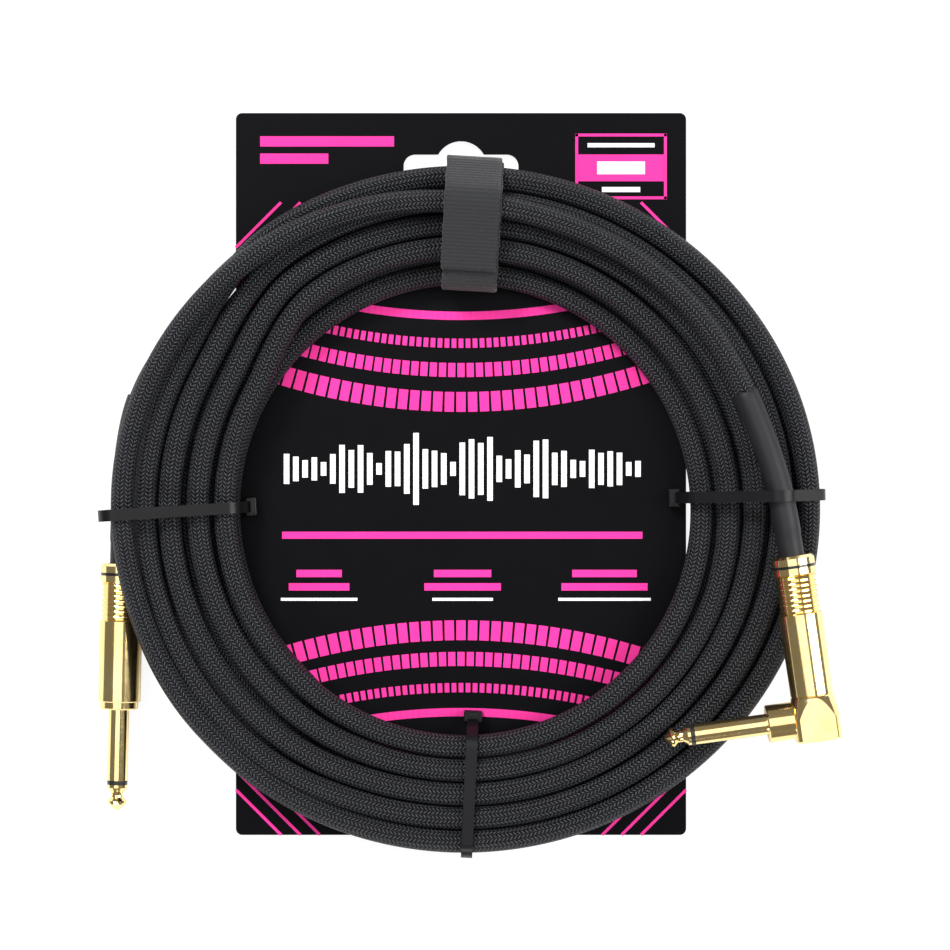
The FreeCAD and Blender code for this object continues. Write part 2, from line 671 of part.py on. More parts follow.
def main():
    """Builds every piece about the coil's centre, moves the origin and writes the files."""
    parts = {"cable_coil": make_coil()}

    straight_back = polar(STRAIGHT_DEG, 1)
    straight_mouth = STRAIGHT_REAR - straight_back * BARREL_LEN
    across = straight_back.cross(UP)
    parts.update(straight_plug(frame(straight_mouth, across, straight_back)))

    angle_back = polar(ANGLE_DEG, 1)
    angle_mouth = ANGLE_REAR - angle_back * BARREL_LEN
    parts.update(angle_plug(frame(angle_mouth, angle_back.cross(UP), angle_back)))

    join_z = COIL_BOTTOM_Z + CABLE_R + 0.05
    straight_route = STRAIGHT_ROUTE + [polar(POCKET_FROM_DEG, STRAIGHT_ROUTE_END_R, join_z)]
    angle_route = [polar(*point) for point in reversed(ANGLE_ROUTE)]
    face_z = join_z + LAYER_STEP
    angle_route = ANGLE_RELIEF_BEND + angle_route + [polar(POCKET_TO_DEG, ANGLE_ROUTE_START_R, face_z)]
    ends = (
        ("straight", STRAIGHT_REAR, STRAIGHT_DEG, straight_route),
        ("angle", ANGLE_REAR, ANGLE_DEG, angle_route),
    )
    for name, rear, degrees, route in ends:
        wire, cable, lead_in, relief_len = cable_end(rear, degrees, route)
        relief = swept(stretch(wire, lead_in, relief_len), CABLE_R + RELIEF_WALL, name + " relief")
        parts[name + "_strain_relief"] = relief.cut(cable)
        parts[name + "_end_cable"] = cable

    over_lead = (107.6, 18.6, CABLE_R + 0.15)
    over_relief = (96.6, 24.3, CABLE_R + RELIEF_WALL + 0.5)
    ties = {
        "left_cable_tie": ((-66.8, 0.7), 183.5, 180.0, False, [over_lead]),
        "right_cable_tie": ((65.9, 3.5), 1.3, 0.0, True, [over_relief]),
        "bottom_cable_tie": ((2.8, -65.2), 267.3, 270.0, True, []),
    }
    legs = []
    raised = FreeCAD.Placement(V(0, 0, CARD_BACK_Z), FreeCAD.Rotation())
    for name, (foot, degrees, coil_degrees, over_corner, over) in ties.items():
        parts[name] = make_tie(foot, degrees, coil_degrees, over_corner, over)
        legs.append(tie_frame(foot, degrees).multiply(raised))
    parts["backing_card"] = make_card(legs)
    parts["strap_loop_band"], parts["strap_hook_tab"] = make_strap()

    whole = Part.makeCompound(list(parts.values())).optimalBoundingBox(False, False)
    shift = V(-whole.Center.x, -whole.Center.y, -whole.ZMin)
    print("coil centre", [round(x, 3) for x in shift])
    os.makedirs("parts", exist_ok=True)
    for name, shape in parts.items():
        moved = shape.copy()
        moved.translate(shift)
        moved.exportStep("parts/" + name + ".step")
        print(name, len(moved.Solids), moved.isValid(), round(moved.Volume, 1))


main()
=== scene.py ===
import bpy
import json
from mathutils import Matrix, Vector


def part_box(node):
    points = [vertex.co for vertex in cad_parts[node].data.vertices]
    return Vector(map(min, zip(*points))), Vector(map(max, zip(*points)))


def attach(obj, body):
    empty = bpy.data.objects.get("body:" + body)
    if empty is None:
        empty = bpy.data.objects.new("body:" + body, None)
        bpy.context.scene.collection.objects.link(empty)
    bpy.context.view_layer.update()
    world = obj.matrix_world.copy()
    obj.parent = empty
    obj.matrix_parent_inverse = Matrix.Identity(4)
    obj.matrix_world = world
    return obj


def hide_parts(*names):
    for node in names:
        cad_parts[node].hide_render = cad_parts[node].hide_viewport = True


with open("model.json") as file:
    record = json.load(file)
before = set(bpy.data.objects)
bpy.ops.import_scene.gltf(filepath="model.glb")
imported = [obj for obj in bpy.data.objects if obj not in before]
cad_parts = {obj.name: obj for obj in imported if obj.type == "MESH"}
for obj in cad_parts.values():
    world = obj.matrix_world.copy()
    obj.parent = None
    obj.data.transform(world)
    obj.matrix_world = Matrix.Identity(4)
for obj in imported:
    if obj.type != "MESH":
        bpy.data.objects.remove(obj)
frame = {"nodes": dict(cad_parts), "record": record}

"""Looks of the coiled instrument cable: woven cord, gilt plugs, rubber sleeves, strap, ties and card.

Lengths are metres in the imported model's frame: +Z up out of the card's front, +Y to the hang slot.
"""

import json
import logging
import math
from dataclasses import dataclass, field
from enum import Enum

import bmesh
import bpy
import numpy as np
from mathutils import Matrix, Vector

LOG = logging.getLogger("instrument_cable")
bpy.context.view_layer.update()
MM = 0.001
COIL_OUT_X = 110.6
COIL_LOW, COIL_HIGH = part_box("cable_coil")
SHIFT = Vector((COIL_HIGH[0] / MM - COIL_OUT_X, (COIL_LOW[1] + COIL_HIGH[1]) / 2 / MM, 0.0))
PACK = "coil_pack"


class End(Enum):
    """One end of the cable, by the plug on it."""

    STRAIGHT = "straight"
    ANGLE = "angle"


def placed_mm(x: float, y: float, z: float) -> Vector:
    """A point in metres in the frame, from millimetres about the coil's centre."""
    return (Vector((x, y, z)) + SHIFT) * MM


def round_coil(degrees: float, radius: float, z: float) -> Vector:
    """A point in metres, from an angle round the coil and millimetres out and up."""
    a = math.radians(degrees)
    return placed_mm(radius * math.cos(a), radius * math.sin(a), z)


def smooth(x: float) -> float:
    """A smooth ramp from 0 at 0 to 1 at 1."""
    x = min(1.0, max(0.0, x))
    return x * x * (3 - 2 * x)


# ------------------------------------------------------------------------------------------
# Finishes
# ------------------------------------------------------------------------------------------


class Nodes:
    """A short way to write a material's node tree."""

    def __init__(self, name: str) -> None:
        """Starts an empty material with one Principled shader.

        Args:
            name: the material's name.
        """
        self.material = bpy.data.materials.new(name)
        self.material.use_nodes = True
        self.tree = self.material.node_tree
        self.shader = self.tree.nodes["Principled BSDF"]

    def add(self, kind: str, **settings: object) -> bpy.types.Node:
        """Adds a node and sets its plain settings.

        Args:
            kind: the node's type.
            settings: names and values of the node's own properties.

        Returns:
            The new node.
        """
        node = self.tree.nodes.new(kind)
        for key, value in settings.items():
            setattr(node, key, value)
        return node

    def link(self, source: bpy.types.NodeSocket, target: bpy.types.NodeSocket) -> None:
        """Joins two sockets."""
        self.tree.links.new(source, target)

    def math(self, operation: str, *values: object) -> bpy.types.NodeSocket:
        """A Math node fed by sockets or numbers.

        Args:
            operation: the node's operation.
            values: up to three inputs, each a socket or a number.

        Returns:
            The node's output socket.
        """
        node = self.add("ShaderNodeMath", operation=operation)
        for socket, value in zip(node.inputs, values):
            if isinstance(value, bpy.types.NodeSocket):
                self.link(value, socket)
            else:
                socket.default_value = float(value)
        return node.outputs[0]

    def object_coordinates(self) -> bpy.types.NodeSocket:
        """The piece's own coordinates, in metres."""
        return self.add("ShaderNodeTexCoord").outputs["Object"]

    def noise(self, scale: float, detail: float = 2.0, vector: object = None) -> bpy.types.NodeSocket:
        """A noise pattern's value.

        Args:
            scale: how fine it is, per metre.
            detail: octaves.
            vector: coordinates, or None for the piece's own.

        Returns:
            The factor socket.
        """
        node = self.add("ShaderNodeTexNoise")
        node.inputs["Scale"].default_value = scale
        node.inputs["Detail"].default_value = detail
        self.link(vector or self.object_coordinates(), node.inputs["Vector"])
        return node.outputs[0]

    def ramp(self, factor: bpy.types.NodeSocket, stops: list[tuple[float, tuple]]) -> bpy.types.NodeSocket:
        """A colour ramp.

        Args:
            factor: what drives it.
            stops: places and colours.

        Returns:
            The colour socket.
        """
        node = self.add("ShaderNodeValToRGB")
        elements = node.color_ramp.elements
        while len(elements) < len(stops):
            elements.new(0.5)
        for element, (place, colour) in zip(elements, stops):
            element.position = place
            element.color = (*colour, 1.0)
        self.link(factor, node.inputs[0])
        return node.outputs[0]

    def spread(self, factor: bpy.types.NodeSocket, low: float, high: float) -> bpy.types.NodeSocket:
        """A factor from 0 to 1 stretched to lie between two values."""
        node = self.add("ShaderNodeMapRange")
        node.inputs["To Min"].default_value = low
        node.inputs["To Max"].default_value = high
        self.link(factor, node.inputs["Value"])
        return node.outputs[0]

    def bump(self, height: bpy.types.NodeSocket, depth: float, strength: float = 1.0) -> None:
        """Raises the surface by a height pattern.

        Args:
            height: the pattern, 0 to 1.
            depth: how deep it is, in metres.
            strength: how much of it counts.
        """
        node = self.add("ShaderNodeBump")
        node.inputs["Strength"].default_value = strength
        node.inputs["Distance"].default_value = depth
        self.link(height, node.inputs["Height"])
        self.link(node.outputs[0], self.shader.inputs["Normal"])

    def set(self, **values: object) -> None:
        """Sets the shader's sockets. An underscore stands for a space in a socket's name."""
        for key, value in values.items():
            self.shader.inputs[key.replace("_", " ")].default_value = value


@dataclass(frozen=True)
class GoldPlate:
    """Bright gilt plating, with faint turning lines and handling marks."""

    name: str = "gold_plate"
    light: tuple = (1.0, 0.8, 0.4)
    deep: tuple = (0.98, 0.7, 0.28)
    roughness: float = 0.12

    def make(self) -> bpy.types.Material:
        """Builds the material."""
        n = Nodes(self.name)
        cloud = n.noise(90.0, 3.0)
        n.link(n.ramp(cloud, [(0.3, self.deep), (0.7, self.light)]), n.shader.inputs["Base Color"])
        fine = n.noise(2600.0, 2.0)
        rough = n.spread(n.noise(400.0, 4.0), self.roughness - 0.05, self.roughness + 0.07)
        n.link(rough, n.shader.inputs["Roughness"])
        n.bump(fine, 0.000004, 0.5)
        n.set(Metallic=1.0)
        return n.material


@dataclass(frozen=True)
class Moulded:
    """Moulded plastic, rubber or enamel with a fine grain."""

    name: str
    colour: tuple
    roughness: float
    grain: float = 1500.0
    depth: float = 0.00001
    spread: float = 0.12
    shine: float = 0.5

    def make(self) -> bpy.types.Material:
        """Builds the material."""
        n = Nodes(self.name)
        cloud = n.noise(120.0, 3.0)
        dark = tuple(c * (1 - self.spread) for c in self.colour)
        light = tuple(min(1.0, c * (1 + self.spread)) for c in self.colour)
        n.link(n.ramp(cloud, [(0.3, dark), (0.7, light)]), n.shader.inputs["Base Color"])
        rough = n.spread(n.noise(300.0, 3.0), self.roughness - 0.05, self.roughness + 0.05)
        n.link(rough, n.shader.inputs["Roughness"])
        n.bump(n.noise(self.grain, 3.0), self.depth)
        n.set(Specular_IOR_Level=self.shine)
        return n.material


@dataclass(frozen=True)
class PlainMetal:
    """Tinned metal, copper or solder inside the barrels."""

    name: str
    colour: tuple
    roughness: float = 0.32

    def make(self) -> bpy.types.Material:
        """Builds the material."""
        n = Nodes(self.name)
        dark = tuple(c * 0.8 for c in self.colour)
        n.link(n.ramp(n.noise(500.0, 3.0), [(0.3, dark), (0.7, self.colour)]), n.shader.inputs["Base Color"])
        rough = n.spread(n.noise(900.0, 2.0), self.roughness - 0.08, self.roughness + 0.1)
        n.link(rough, n.shader.inputs["Roughness"])
        n.bump(n.noise(1800.0, 2.0), 0.000008)
        n.set(Metallic=1.0)
        return n.material


@dataclass(frozen=True)
class WovenJacket:
    """The cable's braid: columns of slanting yarns that lean the other way in the next column, with shade
    painted into the grooves between yarns and along the column seams.
    """

    name: str = "braided_jacket"
    columns: int = 8
    pitch: float = 1.25 * MM
    slant: float = 0.95
    yarn: tuple = (0.058, 0.062, 0.075)
    # painted shade colour for the grooves between yarns and the column seams
    shade: tuple = (0.0008, 0.0008, 0.001)

    def make(self) -> bpy.types.Material:
        """Builds the material on the cord's own map: U is metres along it and V is once round it."""
        n = Nodes(self.name)
        split = n.add("ShaderNodeSeparateXYZ")
        n.link(n.add("ShaderNodeUVMap", uv_map="along").outputs[0], split.inputs[0])
        column = n.math("MULTIPLY", split.outputs[1], self.columns)
        across = n.math("PINGPONG", column, 0.5)
        lean = n.math("MULTIPLY", across, 2 * self.slant)
        steps = n.math("ADD", n.math("DIVIDE", split.outputs[0], self.pitch), lean)
        yarn = n.math("PINGPONG", steps, 0.5)
        crest = n.math("SMOOTH_MIN", n.math("MULTIPLY", yarn, 2.6), 1.0, 0.25)
        middle = n.math("PINGPONG", n.math("MULTIPLY", column, 2.0), 0.5)
        seam = n.math("SMOOTH_MIN", n.math("ADD", n.math("MULTIPLY", middle, 3.2), 0.25), 1.0, 0.3)
        height = n.math("MULTIPLY", crest, seam)
        wear = n.spread(n.noise(700.0, 2.0), 0.75, 1.1)
        groove_shade_and_wear = n.math("MULTIPLY", height, wear)
        # painted shade: low places between the yarns and at the column seams go towards the near-black shade
        # colour, scaled by a random wear tone
        n.link(n.ramp(groove_shade_and_wear, [(0.42, self.shade), (0.98, self.yarn)]), n.shader.inputs["Base Color"])
        n.bump(height, 0.0005)
        n.set(Roughness=0.5, Specular_IOR_Level=0.3)
        return n.material


@dataclass(frozen=True)
class RibbedTape:
    """Hook and loop tape: fine ribs across it, and a fuzzy face, with shade painted into the grooves between
    ribs and threads.
    """

    name: str
    colour: tuple = (0.01, 0.0105, 0.0125)
    rib: float = 1.15 * MM
    thread: float = 0.62 * MM
    fuzz: float = 0.35

    def make(self) -> bpy.types.Material:
        """Builds the material on the tape's own map: U is metres along it and V metres across."""
        n = Nodes(self.name)
        split = n.add("ShaderNodeSeparateXYZ")
        n.link(n.add("ShaderNodeUVMap", uv_map="along").outputs[0], split.inputs[0])
        rib = n.math("PINGPONG", n.math("DIVIDE", split.outputs[0], self.rib), 0.5)
        odd = n.math("FLOOR", n.math("DIVIDE", split.outputs[0], self.rib))
        turn = n.math("MULTIPLY", n.math("MODULO", odd, 2.0), 0.5)
        thread = n.math("PINGPONG", n.math("ADD", n.math("DIVIDE", split.outputs[1], self.thread), turn), 0.5)
        weave = n.math("MULTIPLY", n.math("ADD", rib, 0.2), n.math("ADD", thread, 0.35))
        hair = n.spread(n.noise(2400.0, 4.0), -self.fuzz, self.fuzz)
        height = n.math("ADD", n.math("MULTIPLY", weave, 1.7), hair)
        # partly painted shade: the grooves between ribs and threads go darker and the crests lighter, with
        # random fuzz tone on top
        dark = tuple(c * 0.35 for c in self.colour)
        light = tuple(c * 2.1 for c in self.colour)
        n.link(n.ramp(height, [(0.1, dark), (0.95, light)]), n.shader.inputs["Base Color"])
        n.bump(height, 0.00018)
        n.set(Roughness=0.85, Sheen_Weight=0.25, Sheen_Roughness=0.5)
        return n.material


FINISHES = {
    "gold_plate": GoldPlate(),
    "black_enamel": Moulded("black_enamel", (0.012, 0.012, 0.012), 0.2),
    "ring_plastic": Moulded("ring_plastic", (0.015, 0.015, 0.016), 0.3),
    "inner_plastic": Moulded("inner_plastic", (0.78, 0.74, 0.66), 0.45),
    "liner_plastic": Moulded("liner_plastic", (0.82, 0.82, 0.8), 0.25),
    "tinned_metal": PlainMetal("tinned_metal", (0.76, 0.75, 0.72)),
    "copper": PlainMetal("copper", (0.85, 0.45, 0.3)),
    "solder": PlainMetal("solder", (0.7, 0.7, 0.7), 0.22),
    "wire_coat": Moulded("wire_coat", (0.85, 0.85, 0.8), 0.4),
    "rubber_sleeve": Moulded("rubber_sleeve", (0.009, 0.009, 0.011), 0.5, 1100.0, 0.00003, shine=0.35),
    "braided_jacket": WovenJacket(),
    "hook_and_loop_tape": RibbedTape("hook_and_loop_tape"),
    "loop_tape": RibbedTape("loop_tape", (0.01, 0.01, 0.012), 0.9 * MM, 0.55 * MM, 0.9),
    "nylon_tie": Moulded("nylon_tie", (0.006, 0.006, 0.007), 0.34, 900.0, 0.000012, shine=0.22),
    "printed_card": Moulded("printed_card", (0.002, 0.002, 0.003), 0.5, 2200.0, 0.000002, shine=0.06),
    "pink_ink": Moulded("pink_ink", (0.9, 0.04, 0.32), 0.5, 2200.0, 0.000002, 0.03, 0.1),
    "white_ink": Moulded("white_ink", (0.9, 0.9, 0.9), 0.5, 2200.0, 0.000002, 0.02, 0.1),
}
MADE: dict[str, bpy.types.Material] = {}


def finish_of(name: str) -> bpy.types.Material:
    """The material of a finish, made the first time that it is asked for."""
    if name not in MADE:
        MADE[name] = FINISHES[name].make()
    return MADE[name]


# ------------------------------------------------------------------------------------------
# Mesh helpers
# ------------------------------------------------------------------------------------------


def piece_from(
    bm: bmesh.types.BMesh, name: str, body: str, finish: str, soft: bool = True
) -> bpy.types.Object:
    """Turns a finished bmesh into a piece that rides on a body.

    Args:
        bm: the mesh, in the frame.
        name: the piece's name.
        body: the body that it rides on.
        finish: its finish's name.
        soft: whether its faces shade smoothly into each other.

    Returns:
        The new object.
    """
    mesh = bpy.data.meshes.new(name)
    bm.to_mesh(mesh)
    bm.free()
    piece = bpy.data.objects.new(name, mesh)
    bpy.context.scene.collection.objects.link(piece)
    mesh.materials.append(finish_of(finish))
    for polygon in mesh.polygons:
        polygon.use_smooth = soft
    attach(piece, body)
    return piece


def line_through(points: list[Vector], resolution: int) -> np.ndarray:
    """Points along the smooth line that a route's points steer.

    Args:
        points: the route, in metres.
        resolution: steps for each of the route's points.

    Returns:
        An array of points, one a row.
    """
    curve = bpy.data.curves.new("route", "CURVE")
    curve.dimensions = "3D"
    spline = curve.splines.new("NURBS")
    spline.points.add(len(points) - 1)
    for control, point in zip(spline.points, points):
        control.co = (*point, 1.0)
    spline.order_u = 3
    spline.use_endpoint_u = True
    spline.resolution_u = resolution
    carrier = bpy.data.objects.new("route", curve)
    bpy.context.scene.collection.objects.link(carrier)
    bpy.context.view_layer.update()
    mesh = bpy.data.meshes.new_from_object(carrier)
    flat = np.empty(len(mesh.vertices) * 3)
    mesh.vertices.foreach_get("co", flat)
    bpy.data.objects.remove(carrier)
    bpy.data.meshes.remove(mesh)
    bpy.data.curves.remove(curve)
    line = flat.reshape(-1, 3)
    if (Vector(line[0]) - points[0]).length > (Vector(line[-1]) - points[0]).length:
        line = line[::-1]
    return line


class Line:
    """A smooth line with its length, that pieces are swept along."""

    LOOK = 0.8 * MM

    def __init__(self, points: np.ndarray) -> None:
        """Measures the line.

        Args:
            points: points along it, one a row.
        """
        self.points = points
        steps = np.linalg.norm(np.diff(points, axis=0), axis=1)
        self.reach = np.concatenate([[0.0], np.cumsum(steps)])
        self.length = float(self.reach[-1])

    def at(self, distances: np.ndarray) -> np.ndarray:
        """The points at those distances along the line."""
        return np.stack([np.interp(distances, self.reach, self.points[:, i]) for i in range(3)], axis=1)

    def frames(self, distances: np.ndarray) -> tuple[np.ndarray, np.ndarray, np.ndarray]:
        """Where the line is at some distances, with two directions across it that don't twist.

        Args:
            distances: lengths along the line, rising.

        Returns:
            Points, first cross directions and second cross directions.
        """
        here = self.at(distances)
        ahead = self.at(np.minimum(distances + self.LOOK, self.length))
        behind = self.at(np.maximum(distances - self.LOOK, 0.0))
        along = ahead - behind
        along /= np.linalg.norm(along, axis=1)[:, None]
        first = np.empty_like(along)
        side = np.cross(along[0], (0.0, 0.0, 1.0))
        for i, tangent in enumerate(along):
            side = side - tangent * float(side @ tangent)
            side = side / np.linalg.norm(side)
            first[i] = side
        return here, first, np.cross(along, first)


def ring_edges(bm: bmesh.types.BMesh, ring: list) -> list:
    """The edges of a closed ring of vertices, in their order."""
    return [bm.edges.get((ring[k - 1], ring[k])) for k in range(len(ring))]


def extruded(bm: bmesh.types.BMesh, ring: list) -> tuple[list, list]:
    """Extrudes a ring of vertices.

    Args:
        bm: the mesh.
        ring: the vertices, in their order.

    Returns:
        The new ring in the same order, and the faces between the two.
    """
    made = bmesh.ops.extrude_edge_only(bm, edges=ring_edges(bm, ring))["geom"]
    fresh = {g for g in made if isinstance(g, bmesh.types.BMVert)}
    follow = []
    for vert in ring:
        follow.append(next(e.other_vert(vert) for e in vert.link_edges if e.other_vert(vert) in fresh))
    return follow, [g for g in made if isinstance(g, bmesh.types.BMFace)]


def finish_ends(bm: bmesh.types.BMesh, start: list, last: list, closed: bool) -> None:
    """Closes a swept mesh, either by joining its two end rings or by a face on each."""
    if closed:
        bmesh.ops.bridge_loops(bm, edges=ring_edges(bm, start) + ring_edges(bm, last))
    else:
        for end in (start, last):
            bmesh.ops.contextual_create(bm, geom=ring_edges(bm, end))
    bmesh.ops.recalc_face_normals(bm, faces=bm.faces)


def swept_tube(
    line: Line, profile: list[tuple[float, float]], sides: int, twist: float = 0.0, closed: bool = False
) -> bmesh.types.BMesh:
    """A round tube along a line, by extruding one ring of vertices from place to place.

    Args:
        line: what the tube follows.
        profile: distance along the line and radius, for each ring.
        sides: vertices in a ring.
        twist: turns of the pattern for each metre of length.
        closed: whether the last ring joins the first, for a tube with a wall.

    Returns:
        The mesh, with a map whose U is metres along and V once round.
    """
    bm = bmesh.new()
    layer = bm.loops.layers.uv.new("along")
    distances = np.array([d for d, _ in profile])
    order = np.argsort(distances, kind="stable")
    here, first, second = (np.empty((len(distances), 3)) for _ in range(3))
    here[order], first[order], second[order] = line.frames(distances[order])
    ring = bmesh.ops.create_circle(bm, cap_ends=False, segments=sides, radius=1.0)["verts"]
    angles = [2 * math.pi * k / sides for k in range(sides)]

    def seat(verts: list, i: int) -> None:
        radius = profile[i][1]
        for vert, angle in zip(verts, angles):
            offset = first[i] * math.cos(angle) + second[i] * math.sin(angle)
            vert.co = Vector(here[i] + offset * radius)

    seat(ring, 0)
    start = ring
    for i in range(1, len(profile)):
        follow, faces = extruded(bm, ring)
        seat(follow, i)
        index = {v: k for k, v in enumerate(ring)}
        index.update({v: k for k, v in enumerate(follow)})
        new_set = set(follow)
        for face in faces:
            places = [index[l.vert] for l in face.loops]
            wraps = max(places) - min(places) > 1
            for loop in face.loops:
                k = index[loop.vert]
                turn = (k if k or not wraps else sides) / sides
                reach = distances[i] if loop.vert in new_set else distances[i - 1]
                loop[layer].uv = (reach, turn + twist * reach)
        ring = follow
    finish_ends(bm, start, ring, closed)
    return bm


# ------------------------------------------------------------------------------------------
# The cable
# ------------------------------------------------------------------------------------------


@dataclass
class CableRun:
    """The whole cable, from inside the straight plug to inside the right-angle plug."""

    length: float = 5.49
    diameter: float = 7.0 * MM
    barrel_len: float = 43.0
    cable_end: float = 24.0
    relief_straight: float = 12.0
    inner_r: float = 73.6
    outer_x: float = COIL_OUT_X
    outer_y: float = 106.6
    pocket_r: float = 99.0
    pocket_from: float = 228.0
    pocket_to: float = 150.0
    pocket_blend: float = 26.0
    low_z: float = 6.95
    high_z: float = 14.05
    lanes: float = 4.39167
    rings: int = 5
    step_deg: float = 10.0
    climb_turns: float = 0.16
    sway: tuple = (9.3, 1.7, 2.3)
    sway_share: float = 0.6
    sway_from: float = 0.6
    lift: tuple = (0.25, 7.7, 0.9)
    straight_rear: tuple = (-106.5, -17.0, 7.0)
    straight_deg: float = 88.67
    angle_rear: tuple = (100.3, -14.05, 24.7)
    angle_deg: float = 98.07
    straight_route: list = field(
        default_factory=lambda: [
            (-105.0, 18.5, 7.0),
            (-100.9, 36.5, 7.0),
        ]
    )
    angle_route: list = field(
        default_factory=lambda: [
            (213.0, 106.0, 15.7),
            (197.0, 105.6, 18.0),
            (181.0, 106.2, 18.6),
            (165.0, 106.2, 19.0),
            (147.0, 104.9, 18.8),
            (128.0, 102.5, 21.3),
            (108.0, 98.7, 21.6),
            (88.0, 95.2, 21.6),
            (68.0, 94.0, 21.6),
            (48.0, 94.4, 21.6),
            (31.0, 94.3, 21.9),
        ]
    )
    angle_relief_bend: tuple = (93.1, 19.0, 23.6)

    def outer_r(self, degrees: float) -> float:
        """How far out the outermost turn's middle lies, at an angle round the coil."""
        a = math.radians(degrees)
        reach = self.outer_x * self.outer_y / math.hypot(self.outer_y * math.cos(a), self.outer_x * math.sin(a))
        return reach - self.diameter / MM / 2

    def in_pocket(self, degrees: float) -> float:
        """From 0 to 1, how far the turns are pushed in to leave room for the straight plug."""
        d = degrees % 360
        if self.pocket_to <= d <= self.pocket_from:
            return 1.0
        past = min(abs(d - self.pocket_from), abs(d - self.pocket_to), abs(d - self.pocket_to + 360))
        return smooth(1 - past / self.pocket_blend)

    def lane_r(self, degrees: float, lane: float, tuck: float) -> float:
        """How far out a turn lies.

        Args:
            degrees: the angle round the coil.
            lane: how many turns in from the layer's outermost end.
            tuck: from 0 to 1, how far it closes up on the next turn in, under the gaps above.

        Returns:
            Millimetres from the coil's centre.
        """
        ring = math.floor(lane + 1e-6)
        part = lane - ring
        pitch = self.ring_pitch(degrees)
        free = self.outer_r(degrees) - ring * pitch
        if ring < self.rings - 1:
            free -= tuck * (pitch - self.diameter / MM)
        rank = ring if part > 0.5 else ring - 1
        if rank < 0:
            return free
        places_in = self.rings - 2 - rank
        pocket_slack = (self.pocket_r - self.inner_r) / (self.rings - 2) - self.diameter / MM
        pushed = self.inner_r + places_in * (self.diameter / MM + pocket_slack * (1 - tuck))
        share = self.in_pocket(degrees)
        return free * (1 - share) + pushed * share

    def ring_pitch(self, degrees: float) -> float:
        """Millimetres from one turn's middle to the next one's, in a layer."""
        return (self.outer_r(degrees) - self.inner_r) / (self.rings - 1)

    def coil_points(self) -> list[Vector]:
        """The turns, inwards along the lower layer and outwards along the upper one."""
        start = self.pocket_to
        total = 2 * self.lanes * 360
        steps = round(total / self.step_deg)
        points = []
        for i in range(steps + 1):
            swept = total * i / steps
            degrees = start - swept
            turns = swept / 360
            lane = min(turns, 2 * self.lanes - turns)
            rise = smooth((turns - self.lanes) / self.climb_turns / 2 + 0.5)
            slack = self.ring_pitch(degrees) - self.diameter / MM
            fast, bend, slow = self.sway
            sway = 0.5 + 0.5 * math.sin(fast * turns + bend * math.sin(slow * turns))
            wander = self.sway_share * slack * sway * rise * smooth(lane - self.sway_from)
            height, rate, phase = self.lift
            lift = height * math.sin(rate * turns + phase)
            z = self.low_z + (self.high_z - self.low_z) * rise + lift * rise
            points.append(round_coil(degrees, self.lane_r(degrees, lane, 1 - rise) + wander, z))
        return points

    def plug_points(self, rear: tuple, degrees: float) -> list[Vector]:
        """The two points that lead the cable straight out of a barrel."""
        a = math.radians(degrees)
        back = Vector((math.cos(a), math.sin(a), 0.0))
        middle = Vector(rear)
        inside = middle - back * (self.barrel_len - self.cable_end)
        outside = middle + back * self.relief_straight
        return [placed_mm(*inside), placed_mm(*outside)]

    def route(self) -> list[Vector]:
        """Every point that steers the cable, from the straight plug to the right-angle one."""
        points = self.plug_points(self.straight_rear, self.straight_deg)
        points += [placed_mm(*p) for p in self.straight_route]
        points += self.coil_points()
        points += [round_coil(*p) for p in self.angle_route]
        points.append(placed_mm(*self.angle_relief_bend))
        points += reversed(self.plug_points(self.angle_rear, self.angle_deg))
        return points


